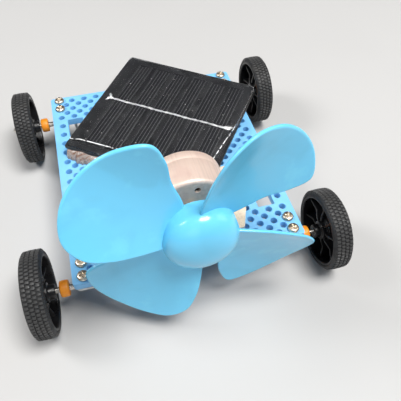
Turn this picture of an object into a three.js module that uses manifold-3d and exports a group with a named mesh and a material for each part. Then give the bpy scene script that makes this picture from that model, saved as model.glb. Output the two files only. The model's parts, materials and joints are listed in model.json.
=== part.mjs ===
// A solar powered, propeller driven kit car: a perforated plate on four wheels, with a round
// flat motor on a cradle at the front and a square solar panel glued across the back.
// Millimetres, +Z up, +X to the right, +Y to the rear. The propeller is at the front, -Y.
// The origin is on the ground, under the middle of the car's bounding box.
import * as THREE from "three";
import { mergeGeometries, mergeVertices } from "three/addons/utils/BufferGeometryUtils.js";
import Module from "manifold-3d";

const wasm = await Module();
wasm.setup();

// ---- driving dimensions -------------------------------------------------------------------

const GAP = 0.3; // between pieces that touch on the real car
const REST_GAP = 0.15; // under a piece that rests flat on the plate

// plate
const PITCH = 5; // hole pitch along a row; every second row is offset by half a pitch
const PLATE = { width: 77, length: 90, thick: 3 };
const HOLE_COLUMNS = 15;
const HOLE_ROWS = 18;
const WINDOW = { x: [26.8, 32.8], y: [16.7, 30.8], margin: 1.4 };

// running gear
const WHEEL_RADIUS = 14.6;
const AXLE_DROP = 8.9; // axle centre below the plate's top face
const AXLE_Y = 40;
const AXLE = { radius: 1, half: 56 };
const COLLAR = { length: 3.1, radius: 2.8 };
const COLLAR_X = { front_left: 40.7, front_right: 40, rear_left: 41.6, rear_right: 41.4 };
const WHEEL = { inner: 46.6, outer: 53.3, boss: 45.2, cap: 54.1, rim: 12.6, barrel: 11.8 };
const OUTSET = { front_left: 0, front_right: 0, rear_left: 0, rear_right: 1.4 }; // not pushed home
const RIBS = 8;

// brackets and screws
const SCREW_X = 35;
const SCREW_Y = [37.5, 42.5];
const SCREW = { head: 1.9, headHigh: 1.3, radius: 1, length: 5.8 };
const BRACKET = { leg: 30, width: 10, steel: 1, reach: 8, below: 3.2 };

// solar panel, yawed on the plate
const PANEL = { width: 57, depth: 57, x: 4.85, y: 17.85, yaw: -35.7, floor: 3.4, base: 1.4 };
const CELL = { count: 6, pitch: 8.15, width: 5.8, length: 49.3, thick: 0.3, x: 1.25, y: 0.3 };
const RIBBON = { width: 1.3, length: 52, thick: 0.15, x: 0.5, y: 0.9 };
const COVER = { thick: 0.7, inset: 0.3 };

// motor and propeller share an axis that tips up towards the front
const SHAFT_TILT = 3.16; // degrees
const HUB = { x: 0.2, y: -50, z: 21.3, radius: 11, back: 2.7, waist: -2.6, dome: 5.3 };
const MOTOR = { radius: 12.2, front: 8.3, back: 21, wall: 0.9 };
const SHAFT = { radius: 1, front: -3.2, back: 20.4 };
const BLADES = 4;
const BLADE = {
  root: 6,
  span: 33.7,
  thick: 1.3,
  turn: 45.2, // degrees from +X to the first blade's centre line
  centre: 0.24, // how far the blade's middle sits behind the hub's reference plane
  pitchRoot: 16.5,
  pitchTip: 9.2,
  cup: -2.65, // both edges stand this far forward at CUP_REFERENCE from the middle
  cone: 2.1, // the tips lie this far behind the roots
};
const CUP_REFERENCE = 16;
// The blade's edge as [across, out] from the shaft, leading root to tip to trailing root.
const BLADE_EDGE = [
  [7.7, 6.5], [12.2, 12.7], [16.1, 19.4], [18.3, 26.7], [16.5, 33.9], [10.2, 38.3], [2.7, 39.6],
  [-4.6, 38.7], [-11.2, 35.7], [-16.3, 30.5], [-14.2, 24], [-9.7, 18.2], [-6.3, 11.7], [-2.1, 5.8],
];
const TIP_POINT = 6;

// motor mount
const PAD = { left: -17, right: 22.5, rear: -10.5, front: -38.4, cutX: 19.2, cutY: -30, thick: 1.5 };
const CRADLE = { half: 13.4, front: -40.2, rear: -30.6, top: 14, clear: 0.35 };

// leads from the panel's solder pads to the motor's terminals
const LEAD_RADIUS = 0.55;
const TERMINAL = { x: 5.5, z: 4, length: 3, width: 2, thick: 0.5 };

const PLATE_TOP = WHEEL_RADIUS + AXLE_DROP;
const FRONT_TO_CENTRE = 0.25; // moves the car so that its box is centred on the origin
const degrees = THREE.MathUtils.degToRad;

// ---- solids -------------------------------------------------------------------------------

function toSolid(geometry) {
  const bare = geometry.clone();
  bare.deleteAttribute("normal");
  bare.deleteAttribute("uv");
  const merged = mergeVertices(bare, 1e-4);
  return new wasm.Manifold(
    new wasm.Mesh({
      numProp: 3,
      vertProperties: new Float32Array(merged.attributes.position.array),
      triVerts: new Uint32Array(merged.index.array),
    }),
  );
}

function toGeometry(solid) {
  const mesh = solid.getMesh();
  const geometry = new THREE.BufferGeometry();
  geometry.setAttribute("position", new THREE.BufferAttribute(mesh.vertProperties, 3));
  geometry.setIndex(new THREE.BufferAttribute(mesh.triVerts, 1));
  return geometry;
}

// Joins the first list of geometries and cuts the second list out of them.
function combine(joined, removed = []) {
  let solid = toSolid(joined[0]);
  for (const piece of joined.slice(1)) solid = solid.add(toSolid(piece));
  for (const piece of removed) solid = solid.subtract(toSolid(piece));
  return toGeometry(solid);
}

// A turned piece about the +Y axis. The profile is a closed loop of [radius, y] points.
function turned(profile, segments) {
  const area = profile.reduce((sum, [r, y], i) => {
    const [nextR, nextY] = profile[(i + 1) % profile.length];
    return sum + r * nextY - nextR * y;
  }, 0);
  const loop = area > 0 ? profile : [...profile].reverse();
  const points = [...loop, loop[0]].map(([r, y]) => new THREE.Vector2(r, y));
  return new THREE.LatheGeometry(points, segments);
}

const turnedAlongX = (profile, segments) => turned(profile, segments).rotateZ(-Math.PI / 2);
const turnedAlongZ = (profile, segments) => turned(profile, segments).rotateX(Math.PI / 2);

function ring(inner, outer, from, to) {
  return [[inner, from], [outer, from], [outer, to], [inner, to]];
}

function box(x, y, z) {
  const geometry = new THREE.BoxGeometry(x[1] - x[0], y[1] - y[0], z[1] - z[0]);
  return geometry.translate((x[0] + x[1]) / 2, (y[0] + y[1]) / 2, (z[0] + z[1]) / 2);
}

function outline(points) {
  return new THREE.Shape(points.map(([x, y]) => new THREE.Vector2(x, y)));
}

function slab(shape, bottom, top, curveSegments = 4) {
  const options = { depth: top - bottom, bevelEnabled: false, curveSegments };
  return new THREE.ExtrudeGeometry(shape, options).translate(0, 0, bottom);
}

function roundedRectangle(width, depth, radius) {
  const [x, y] = [width / 2, depth / 2];
  const shape = new THREE.Shape();
  shape.absarc(x - radius, y - radius, radius, 0, Math.PI / 2);
  shape.absarc(-x + radius, y - radius, radius, Math.PI / 2, Math.PI);
  shape.absarc(-x + radius, -y + radius, radius, Math.PI, 1.5 * Math.PI);
  shape.absarc(x - radius, -y + radius, radius, 1.5 * Math.PI, 2 * Math.PI);
  return shape;
}

// An upright prism that cuts a round hole, with its flats along X and Y when it has 4 sides.
function drill(x, y, radius, sides, bottom, top) {
  const prism = new THREE.CylinderGeometry(radius, radius, top - bottom, sides);
  return prism.rotateY(Math.PI / sides).rotateX(Math.PI / 2).translate(x, y, (bottom + top) / 2);
}

// ---- materials ----------------------------------------------------------------------------

function finish(color, roughness, metalness = 0, extra = {}) {
  return () => new THREE.MeshStandardMaterial({ color, roughness, metalness, ...extra });
}

const FINISH = {
  bluePlastic: finish(0x8fcdf5, 0.45),
  bladePlastic: finish(0x6fbfe8, 0.25),
  blackPlastic: finish(0x17181a, 0.5),
  rubber: finish(0x2a2b2d, 0.8),
  collarRubber: finish(0xf28a1c, 0.55),
  steel: finish(0xc9c6c0, 0.3, 1),
  screwSteel: finish(0xd8c9a8, 0.3, 1),
  canSteel: finish(0xd9c6bf, 0.35, 1),
  creamPlastic: finish(0xf0e2cc, 0.6),
  boardBlack: finish(0x111214, 0.5),
  silicon: finish(0x1b1c20, 0.3, 0.4),
  tinned: finish(0xc8c8c8, 0.35, 1),
  resin: finish(0xe8eef2, 0.08, 0, { transparent: true, opacity: 0.25 }),
  foam: finish(0xd8cbb2, 0.9),
  glue: finish(0xe8e4dc, 0.3, 0, { transparent: true, opacity: 0.6 }),
  brass: finish(0xc8a24a, 0.35, 1),
  ferrite: finish(0x3a3a3c, 0.7),
  copper: finish(0xb5703c, 0.4, 1),
  redInsulation: finish(0xc0202a, 0.5),
  blackInsulation: finish(0x151515, 0.5),
};

const car = new THREE.Group();
car.position.set(0, FRONT_TO_CENTRE, PLATE_TOP);

function place(name, geometry, material, parent = car) {
  const mesh = new THREE.Mesh(geometry, FINISH[material]());
  mesh.name = name;
  parent.add(mesh);
  return mesh;
}

// ---- base plate ---------------------------------------------------------------------------

const PLAIN_HOLE = [1.4, 4]; // radius to a corner, and sides
const SCREW_HOLE = [1.45, 8];
const THROUGH_PLATE = [-PLATE.thick - 1, 1];
const CORNERS = [-1, 1].flatMap((sx) => [-1, 1].map((sy) => [sx, sy]));

function inWindow(x, y) {
  const near = (value, [low, high]) => value > low - WINDOW.margin && value < high + WINDOW.margin;
  return near(Math.abs(x), WINDOW.x) && near(Math.abs(y), WINDOW.y);
}

function isScrewHole(x, y) {
  return Math.abs(x) === SCREW_X && SCREW_Y.includes(Math.abs(y));
}

function perforations() {
  const holes = [];
  const half = PITCH / 2;
  for (let row = 0; row < 2 * HOLE_ROWS - 1; row += 1) {
    for (let column = row % 2; column < 2 * HOLE_COLUMNS - 1; column += 2) {
      const x = (column - HOLE_COLUMNS + 1) * half;
      const y = (row - HOLE_ROWS + 1) * half;
      const [radius, sides] = isScrewHole(x, y) ? SCREW_HOLE : PLAIN_HOLE;
      if (!inWindow(x, y)) holes.push(drill(x, y, radius, sides, ...THROUGH_PLATE));
    }
  }
  return holes;
}

function windows() {
  const span = ([low, high], sign) => (sign > 0 ? [low, high] : [-high, -low]);
  return CORNERS.map(([sx, sy]) => box(span(WINDOW.x, sx), span(WINDOW.y, sy), THROUGH_PLATE));
}

const plateSlab = slab(roundedRectangle(PLATE.width, PLATE.length, 1), -PLATE.thick, 0, 2);
const plateCuts = mergeGeometries([...perforations(), ...windows()]);
place("base_plate", combine([plateSlab], [plateCuts]), "bluePlastic");

// ---- axle brackets and their screws -------------------------------------------------------

// A pressed steel angle: a flange under the plate with two tapped holes, and a leg with the
// axle's hole. Built for the right rear corner and turned half round for the left.
function bracketGeometry() {
  const top = -PLATE.thick - REST_GAP;
  const [inside, outside] = [BRACKET.leg, BRACKET.leg + BRACKET.reach];
  const half = BRACKET.width / 2;
  const flange = box([inside, outside], [-half, half], [top - BRACKET.steel, top]);
  const legShape = new THREE.Shape();
  legShape.moveTo(half, top);
  legShape.lineTo(-half, top);
  legShape.lineTo(-half, -AXLE_DROP);
  legShape.absarc(0, -AXLE_DROP, BRACKET.below, Math.PI, 2 * Math.PI);
  legShape.lineTo(half, -AXLE_DROP);
  legShape.closePath();
  const leg = slab(legShape, 0, BRACKET.steel, 6);
  leg.rotateX(Math.PI / 2).rotateZ(Math.PI / 2).translate(inside, 0, 0);
  const middle = (SCREW_Y[0] + SCREW_Y[1]) / 2;
  const holes = SCREW_Y.map((y) => {
    const hole = new THREE.CylinderGeometry(SCREW.radius + GAP, SCREW.radius + GAP, 4, 8);
    return hole.rotateX(Math.PI / 2).translate(SCREW_X, y - middle, top);
  });
  const axleHole = new THREE.CylinderGeometry(AXLE.radius + GAP, AXLE.radius + GAP, 6, 12);
  holes.push(axleHole.rotateZ(Math.PI / 2).translate(inside, 0, -AXLE_DROP));
  return combine([flange, leg], holes);
}

const SCREW_PROFILE = [
  [0, REST_GAP - SCREW.length],
  [SCREW.radius * 0.7, REST_GAP - SCREW.length],
  [SCREW.radius, REST_GAP - SCREW.length + 0.5],
  [SCREW.radius, REST_GAP],
  [SCREW.head, REST_GAP],
  [SCREW.head, REST_GAP + 0.45 * SCREW.headHigh],
  [0.72 * SCREW.head, REST_GAP + 0.88 * SCREW.headHigh],
  [0, REST_GAP + SCREW.headHigh],
];

const side = (sx) => (sx < 0 ? "left" : "right");
const end = (sy) => (sy < 0 ? "front" : "rear");

for (const [sx, sy] of CORNERS) {
  const corner = `${end(sy)}_${side(sx)}`;
  const bracket = place(`axle_bracket_${corner}`, bracketGeometry(), "steel");
  bracket.position.y = sy * AXLE_Y;
  bracket.rotation.z = sx < 0 ? Math.PI : 0;
  SCREW_Y.forEach((y, i) => {
    const screw = place(`screw_${corner}_${i + 1}`, turnedAlongZ(SCREW_PROFILE, 8), "screwSteel");
    screw.position.set(sx * SCREW_X, sy * y, 0);
  });
}

// ---- axles, collars and wheels ------------------------------------------------------------

function rimGeometry() {
  const { inner, outer, boss, cap, rim, barrel } = WHEEL;
  const bore = AXLE.radius + GAP;
  const web = outer - 1.8;
  const profile = [
    [bore, boss], [2.4, boss], [2.4, boss + 2], [3.6, boss + 2], [3.6, web], [barrel, web],
    [barrel, inner], [rim, inner], [rim, outer], [barrel - 1, outer], [barrel - 1.4, outer - 0.8],
    [3.2, outer - 0.8], [3.2, cap], [bore, cap],
  ];
  const pieces = [turnedAlongX(profile, 20)];
  for (let i = 0; i < RIBS; i += 1) {
    const rib = box([web - 3, web + 0.3], [-0.4, 0.4], [3, barrel + 0.4]);
    pieces.push(rib.rotateX((2 * Math.PI * i) / RIBS));
  }
  return combine(pieces);
}

function tyreProfile() {
  const { inner, outer, rim } = WHEEL;
  const shoulder = WHEEL_RADIUS - 0.5;
  return [
    [rim + GAP, inner - 0.1], [shoulder, inner - 0.1], [WHEEL_RADIUS, inner + 2],
    [WHEEL_RADIUS, outer - 2], [shoulder, outer + 0.1], [rim + GAP, outer + 0.1],
  ];
}

const TYRE_SIDES = 24;
const COLLAR_PROFILE = [
  [AXLE.radius + GAP, 0],
  [COLLAR.radius - 0.5, 0],
  [COLLAR.radius, 0.6],
  [COLLAR.radius, COLLAR.length - 0.6],
  [COLLAR.radius - 0.5, COLLAR.length],
  [AXLE.radius + GAP, COLLAR.length],
];
const AXLE_PROFILE = [
  [0, -AXLE.half], [AXLE.radius - 0.2, -AXLE.half], [AXLE.radius, 0.2 - AXLE.half],
  [AXLE.radius, AXLE.half - 0.2], [AXLE.radius - 0.2, AXLE.half], [0, AXLE.half],
];

for (const sy of [-1, 1]) {
  const set = new THREE.Group();
  set.position.set(0, sy * AXLE_Y, -AXLE_DROP);
  car.add(set);
  place(`${end(sy)}_axle`, turnedAlongX(AXLE_PROFILE, 12), "steel", set);
  for (const sx of [-1, 1]) {
    const corner = `${end(sy)}_${side(sx)}`;
    const collar = turnedAlongX(COLLAR_PROFILE, 12).translate(COLLAR_X[corner], 0, 0);
    const rim = rimGeometry().translate(OUTSET[corner], 0, 0);
    const tyre = turnedAlongX(tyreProfile(), TYRE_SIDES).translate(OUTSET[corner], 0, 0);
    const pieces = [
      place(`axle_collar_${corner}`, collar, "collarRubber", set),
      place(`wheel_rim_${corner}`, rim, "blackPlastic", set),
      place(`tyre_${corner}`, tyre, "rubber", set),
    ];
    for (const piece of pieces) piece.rotation.z = sx < 0 ? Math.PI : 0;
  }
}

// ---- solar panel --------------------------------------------------------------------------

const panel = new THREE.Group();
panel.position.set(PANEL.x, PANEL.y, PANEL.floor);
panel.rotation.z = degrees(PANEL.yaw);
car.add(panel);

const BASE_TOP = PANEL.base;
const CELL_BOTTOM = BASE_TOP + REST_GAP;
const CELL_TOP = CELL_BOTTOM + CELL.thick;
const RIBBON_BOTTOM = CELL_TOP + REST_GAP;
const COVER_BOTTOM = RIBBON_BOTTOM + RIBBON.thick + REST_GAP;

const centred = (middle, size) => [middle - size / 2, middle + size / 2];
const boardShape = roundedRectangle(PANEL.width, PANEL.depth, 0.6);
place("panel_board", slab(boardShape, 0, BASE_TOP, 2), "boardBlack", panel);
for (let i = 0; i < CELL.count; i += 1) {
  const x = centred(CELL.x + (i - (CELL.count - 1) / 2) * CELL.pitch, CELL.width);
  const strip = box(x, centred(CELL.y, CELL.length), [CELL_BOTTOM, CELL_TOP]);
  place(`solar_cell_${i + 1}`, strip, "silicon", panel);
}
const ribbon = box(
  centred(RIBBON.x, RIBBON.length),
  centred(RIBBON.y, RIBBON.width),
  [RIBBON_BOTTOM, RIBBON_BOTTOM + RIBBON.thick],
);
place("cell_ribbon", ribbon, "tinned", panel);

function coverGeometry() {
  const width = PANEL.width - 2 * COVER.inset;
  const depth = PANEL.depth - 2 * COVER.inset;
  const bevel = 0.35;
  const options = {
    depth: COVER.thick - bevel,
    bevelEnabled: true,
    bevelThickness: bevel,
    bevelSize: bevel,
    bevelOffset: -bevel,
    bevelSegments: 2,
    curveSegments: 2,
  };
  const cover = new THREE.ExtrudeGeometry(roundedRectangle(width, depth, 1), options);
  const below = box([-width, width], [-depth, depth], [-2, 0]);
  return combine([cover], [below]).translate(0, 0, COVER_BOTTOM);
}
place("panel_resin_cover", coverGeometry(), "resin", panel);

const SOLDER_PADS = { red: [-9, 14], black: [-9, -2] };
const SOLDER_HIGH = 0.5;
for (const [colour, [x, y]] of Object.entries(SOLDER_PADS)) {
  const pad = turnedAlongZ([[0, 0], [1.6, 0], [1.2, -SOLDER_HIGH], [0, -SOLDER_HIGH]], 10);
  place(`solder_pad_${colour}`, pad.translate(x, y, -REST_GAP), "tinned", panel);
}

// Foam pads carry the board, and a run of hot glue holds its front edge near the left corner.
const FOAM = [REST_GAP - PANEL.floor, -GAP];
place("foam_pad_front", box([-24, -10], [-24, -14], FOAM), "foam", panel);
place("foam_pad_rear", box([8, 22], [6, 16], FOAM), "foam", panel);

function glueBead() {
  const shape = new THREE.Shape();
  shape.absellipse(-17.5, -27.6, 10, 3, 0, 2 * Math.PI, false, 0);
  return slab(shape, REST_GAP - PANEL.floor, -GAP, 7);
}
place("glue_bead", glueBead(), "glue", panel);

// ---- motor --------------------------------------------------------------------------------

const drive = new THREE.Group();
drive.position.set(HUB.x, HUB.y, HUB.z);
drive.rotation.x = -degrees(SHAFT_TILT);
car.add(drive);

const CLEAR_BORE = SHAFT.radius + GAP;
const canInside = MOTOR.radius - MOTOR.wall;
const CAN_PROFILE = [
  [CLEAR_BORE, MOTOR.front], [MOTOR.radius - 1, MOTOR.front], [MOTOR.radius - 0.3, MOTOR.front + 0.3],
  [MOTOR.radius, MOTOR.front + 1], [MOTOR.radius, MOTOR.back], [canInside, MOTOR.back],
  [canInside, MOTOR.front + 1.6], [canInside - 0.7, MOTOR.front + MOTOR.wall],
  [CLEAR_BORE, MOTOR.front + MOTOR.wall],
];
const CAN_SIDES = 28;
place("motor_can", turned(CAN_PROFILE, CAN_SIDES), "canSteel", drive);

const MAGNET = ring(8.9, canInside - 0.5, MOTOR.front + 2, MOTOR.front + 8.6);
const ARMATURE = [
  [CLEAR_BORE, MOTOR.front + 2.2], [4, MOTOR.front + 2.2], [8.4, MOTOR.front + 3],
  [8.4, MOTOR.front + 7.6], [4, MOTOR.front + 8.4], [CLEAR_BORE, MOTOR.front + 8.4],
];
const COMMUTATOR = ring(CLEAR_BORE, 2.3, MOTOR.front + 8.7, MOTOR.back - 2.1);
const END_CAP = ring(CLEAR_BORE, canInside - GAP, MOTOR.back - 1.7, MOTOR.back - 0.2);
const BUSH = ring(CLEAR_BORE, 3, MOTOR.front - 1.9, MOTOR.front - 0.3);
const SHAFT_PROFILE = ring(0, SHAFT.radius, SHAFT.front, SHAFT.back);
place("motor_magnet", turned(MAGNET, 24), "ferrite", drive);
place("motor_armature", turned(ARMATURE, 18), "copper", drive);
place("motor_commutator", turned(COMMUTATOR, 12), "copper", drive);
place("motor_end_cap", turned(END_CAP, 24), "creamPlastic", drive);
place("motor_bush", turned(BUSH, 12), "brass", drive);
place("motor_shaft", turned(SHAFT_PROFILE, 12), "steel", drive);
for (const sx of [-1, 1]) {
  const x = [sx * TERMINAL.x - TERMINAL.width / 2, sx * TERMINAL.x + TERMINAL.width / 2];
  const y = [MOTOR.back + 0.1, MOTOR.back + 0.1 + TERMINAL.length];
  const z = [-TERMINAL.z - TERMINAL.thick, -TERMINAL.z];
  place(`motor_terminal_${side(sx)}`, box(x, y, z), "brass", drive);
}

// ---- propeller ----------------------------------------------------------------------------

const bladeEdge = new THREE.SplineCurve(BLADE_EDGE.map(([off, r]) => new THREE.Vector2(off, r)));
const TIP_SHARE = TIP_POINT / (BLADE_EDGE.length - 1);

// A point on a blade's middle surface, off its centre line by off and out from the shaft by r.
function bladePoint(off, r, angle) {
  const u = (r - BLADE.root) / BLADE.span;
  const pitch = degrees(BLADE.pitchRoot + (BLADE.pitchTip - BLADE.pitchRoot) * u);
  const around = off * Math.cos(pitch);
  const cup = BLADE.cup * (off / CUP_REFERENCE) ** 2;
  const y = BLADE.centre - off * Math.sin(pitch) + BLADE.cone * u + cup;
  const x = r * Math.cos(angle) - around * Math.sin(angle);
  const z = r * Math.sin(angle) + around * Math.cos(angle);
  return new THREE.Vector3(x, y, z);
}

const BLADE_STEPS = 8;
const BLADE_COLUMNS = 6;
const LAST_STEP = 0.96; // the rows stop just short of the tip, so no face collapses

function bladeGeometry(angle) {
  const grid = [];
  for (let i = 0; i <= BLADE_STEPS; i += 1) {
    const t = (LAST_STEP * i) / BLADE_STEPS;
    const leading = bladeEdge.getPoint(TIP_SHARE * t);
    const trailing = bladeEdge.getPoint(1 - (1 - TIP_SHARE) * t);
    for (let j = 0; j <= BLADE_COLUMNS; j += 1) {
      const point = trailing.clone().lerp(leading, j / BLADE_COLUMNS);
      grid.push(bladePoint(point.x, point.y, angle));
    }
  }
  const back = grid.map((p) => p.clone().add(new THREE.Vector3(0, BLADE.thick, 0)));
  const points = [...grid, ...back];
  const faces = [];
  const across = BLADE_COLUMNS + 1;
  const quad = (a, b, c, d) => faces.push(a, b, c, a, c, d);
  const at = (i, j) => i * across + j;
  const under = grid.length;
  for (let i = 0; i < BLADE_STEPS; i += 1) {
    for (let j = 0; j < BLADE_COLUMNS; j += 1) {
      const corners = [at(i, j), at(i + 1, j), at(i + 1, j + 1), at(i, j + 1)];
      quad(...corners);
      quad(...corners.reverse().map((k) => k + under));
    }
  }
  const rim = [];
  for (let j = 0; j < BLADE_COLUMNS; j += 1) rim.push(at(0, j));
  for (let i = 0; i < BLADE_STEPS; i += 1) rim.push(at(i, BLADE_COLUMNS));
  for (let j = BLADE_COLUMNS; j > 0; j -= 1) rim.push(at(BLADE_STEPS, j));
  for (let i = BLADE_STEPS; i > 0; i -= 1) rim.push(at(i, 0));
  rim.forEach((a, k) => {
    const b = rim[(k + 1) % rim.length];
    quad(a, b, b + under, a + under);
  });
  const geometry = new THREE.BufferGeometry().setFromPoints(points);
  geometry.setIndex(faces);
  return geometry;
}

function hubGeometry() {
  const { radius, back, waist, dome } = HUB;
  const tip = SHAFT.front - 0.4;
  const profile = [[CLEAR_BORE, tip], [CLEAR_BORE, back], [radius, back], [radius, waist]];
  const steps = 5;
  for (let i = 1; i <= steps; i += 1) {
    const angle = (Math.PI / 2) * (i / steps);
    profile.push([i === steps ? 0 : radius * Math.cos(angle), waist - dome * Math.sin(angle)]);
  }
  profile.push([0, tip]);
  return turned(profile, 28);
}

function propellerGeometry() {
  const blades = [];
  for (let i = 0; i < BLADES; i += 1) {
    blades.push(bladeGeometry(degrees(BLADE.turn) + (2 * Math.PI * i) / BLADES));
  }
  return combine([hubGeometry(), ...blades]);
}
place("propeller", propellerGeometry(), "bladePlastic", drive);

// ---- motor mount --------------------------------------------------------------------------

const padShape = outline([
  [PAD.left, PAD.front], [PAD.cutX, PAD.front], [PAD.right, PAD.cutY], [PAD.right, PAD.rear],
  [PAD.left, PAD.rear],
]);
place("motor_pad", slab(padShape, REST_GAP, PAD.thick), "foam");

function cradleGeometry() {
  const height = [PAD.thick + REST_GAP, CRADLE.top];
  const block = box([-CRADLE.half, CRADLE.half], [CRADLE.front, CRADLE.rear], height);
  const radius = MOTOR.radius + CRADLE.clear;
  const seat = new THREE.CylinderGeometry(radius, radius, 40, CAN_SIDES);
  seat.translate(0, (MOTOR.front + MOTOR.back) / 2, 0);
  seat.applyMatrix4(new THREE.Matrix4().makeRotationX(drive.rotation.x));
  seat.translate(HUB.x, HUB.y, HUB.z);
  return combine([block.translate(HUB.x, 0, 0)], [seat]);
}
place("motor_cradle", cradleGeometry(), "creamPlastic");

// ---- leads --------------------------------------------------------------------------------

drive.updateMatrix();
panel.updateMatrix();

function leadGeometry(colour, sx) {
  const tab = new THREE.Vector3(sx * TERMINAL.x, MOTOR.back + TERMINAL.length, -TERMINAL.z);
  const start = tab.applyMatrix4(drive.matrix).add(new THREE.Vector3(0, -0.6, LEAD_RADIUS + GAP));
  const [padX, padY] = SOLDER_PADS[colour];
  const pad = new THREE.Vector3(padX, padY, -REST_GAP - SOLDER_HIGH).applyMatrix4(panel.matrix);
  const low = LEAD_RADIUS + GAP;
  const points = [
    start,
    start.clone().add(new THREE.Vector3(0, 2.2, 0.2)),
    new THREE.Vector3(start.x * 0.9, start.y + 4.6, start.z - 3),
    new THREE.Vector3(start.x * 0.8, start.y + 5.4, start.z - 9),
    new THREE.Vector3(start.x * 0.7, start.y + 7.2, low + PAD.thick + 1),
    new THREE.Vector3(start.x * 0.6 - 2, start.y + 12, low + PAD.thick),
    new THREE.Vector3(pad.x * 0.6 + start.x * 0.2, pad.y - 9, low + 1),
    new THREE.Vector3(pad.x, pad.y - 3, low + 1),
    new THREE.Vector3(pad.x, pad.y, pad.z - GAP - LEAD_RADIUS),
  ];
  const section = new THREE.Shape();
  section.absarc(0, 0, LEAD_RADIUS, 0, 2 * Math.PI);
  const path = new THREE.CatmullRomCurve3(points, false, "centripetal");
  return new THREE.ExtrudeGeometry(section, {
    steps: 22, extrudePath: path, bevelEnabled: false, curveSegments: 4,
  });
}
place("lead_red", leadGeometry("red", 1), "redInsulation");
place("lead_black", leadGeometry("black", -1), "blackInsulation");

export default car;
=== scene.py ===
import json
import math
import random

import bmesh
import bpy
import numpy as np
from mathutils import Matrix, Quaternion, Vector


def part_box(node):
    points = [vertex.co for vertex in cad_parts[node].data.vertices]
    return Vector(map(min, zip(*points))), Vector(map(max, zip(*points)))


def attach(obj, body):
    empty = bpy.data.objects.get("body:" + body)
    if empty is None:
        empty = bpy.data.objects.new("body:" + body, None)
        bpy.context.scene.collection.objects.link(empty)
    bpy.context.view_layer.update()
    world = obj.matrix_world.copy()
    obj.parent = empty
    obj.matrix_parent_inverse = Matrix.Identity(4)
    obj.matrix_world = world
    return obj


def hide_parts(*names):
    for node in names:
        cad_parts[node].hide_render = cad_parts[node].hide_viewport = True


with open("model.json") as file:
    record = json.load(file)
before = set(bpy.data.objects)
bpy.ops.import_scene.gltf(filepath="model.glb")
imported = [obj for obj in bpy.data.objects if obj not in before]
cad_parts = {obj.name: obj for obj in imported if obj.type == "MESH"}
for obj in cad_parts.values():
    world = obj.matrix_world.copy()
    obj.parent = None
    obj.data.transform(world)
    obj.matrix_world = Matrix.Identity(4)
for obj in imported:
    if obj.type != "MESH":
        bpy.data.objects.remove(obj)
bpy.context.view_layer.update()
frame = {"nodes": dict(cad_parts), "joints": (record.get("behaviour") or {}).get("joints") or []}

MM = 0.001
RANDOM = random.Random(7)
CHASSIS = "chassis"
CORNERS = [(sx, sy) for sy in (-1, 1) for sx in (-1, 1)]


def side(sx):
    return "left" if sx < 0 else "right"


def end(sy):
    return "front" if sy < 0 else "rear"


# ---- places, all read from the frame --------------------------------------------------------

JOINTS = {joint["name"]: joint for joint in frame["joints"]}


def span(node):
    """A node's lowest and highest corner in millimetres."""
    low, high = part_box(node)
    return np.array(low) / MM, np.array(high) / MM


def middle(node):
    low, high = span(node)
    return (low + high) / 2


PLATE_LOW, PLATE_HIGH = span("base_plate")
PLATE_AT = np.array([*(PLATE_LOW + PLATE_HIGH)[:2] / 2, PLATE_HIGH[2]])
PLATE = Matrix.Translation(Vector(PLATE_AT * MM))
PANEL_YAW = math.radians(-35.7)
PANEL_AT = np.array([*middle("panel_board")[:2], span("panel_board")[0][2]])
PANEL = Matrix.Translation(Vector(PANEL_AT * MM)) @ Matrix.Rotation(PANEL_YAW, 4, "Z")
SPIN = JOINTS["propeller_spin"]
TILT = math.atan2(SPIN["axis"][2], -SPIN["axis"][1])
DRIVE = Matrix.Translation(Vector(SPIN["pos_m"])) @ Matrix.Rotation(-TILT, 4, "X")


def axle_place(sy):
    return Matrix.Translation(Vector(JOINTS[f"{end(sy)}_axle_spin"]["pos_m"]))


# ---- camera, light and floor ----------------------------------------------------------------

CAMERA_AT = PLATE @ Vector((-0.01999, -0.1208, 0.13012))
CAMERA_AIM = PLATE @ Vector((0.0081, -0.02289, 0))
CAMERA_ROLL = math.radians(0.94)
LENS = 42.3


def make_camera():
    data = bpy.data.cameras.new("camera")
    data.lens = LENS
    data.clip_start = 0.01
    camera = bpy.data.objects.new("camera", data)
    bpy.context.scene.collection.objects.link(camera)
    look = (CAMERA_AIM - CAMERA_AT).to_track_quat("-Z", "Y")
    camera.rotation_mode = "QUATERNION"
    camera.rotation_quaternion = look @ Quaternion((0, 0, 1), CAMERA_ROLL)
    camera.location = CAMERA_AT
    bpy.context.scene.camera = camera


def make_light(name, at, size, watts, colour=(1, 1, 1), aim=(0, 0, 20)):
    data = bpy.data.lights.new(name, "AREA")
    data.shape = "DISK"
    data.size = size * MM
    data.energy = watts
    data.color = colour
    light = bpy.data.objects.new(name, data)
    light.location = Vector(at) * MM
    light.rotation_euler = (Vector(aim) * MM - light.location).to_track_quat("-Z", "Y").to_euler()
    bpy.context.scene.collection.objects.link(light)


def make_world():
    """A dim room, darker behind the car than in front of it."""
    world = bpy.data.worlds.new("studio")
    world.use_nodes = True
    background = world.node_tree.nodes["Background"]
    background.inputs["Color"].default_value = (0.9, 0.95, 1.0, 1)
    tree = world.node_tree
    towards = tree.nodes.new("ShaderNodeTexCoord").outputs["Generated"]
    parts = tree.nodes.new("ShaderNodeSeparateXYZ")
    fade = tree.nodes.new("ShaderNodeMapRange")
    fade.inputs["From Min"].default_value = -1
    fade.inputs["To Min"].default_value = 0.24
    fade.inputs["To Max"].default_value = 0.04
    tree.links.new(towards, parts.inputs["Vector"])
    tree.links.new(parts.outputs["Y"], fade.inputs["Value"])
    tree.links.new(fade.outputs["Result"], background.inputs["Strength"])
    bpy.context.scene.world = world


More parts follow.
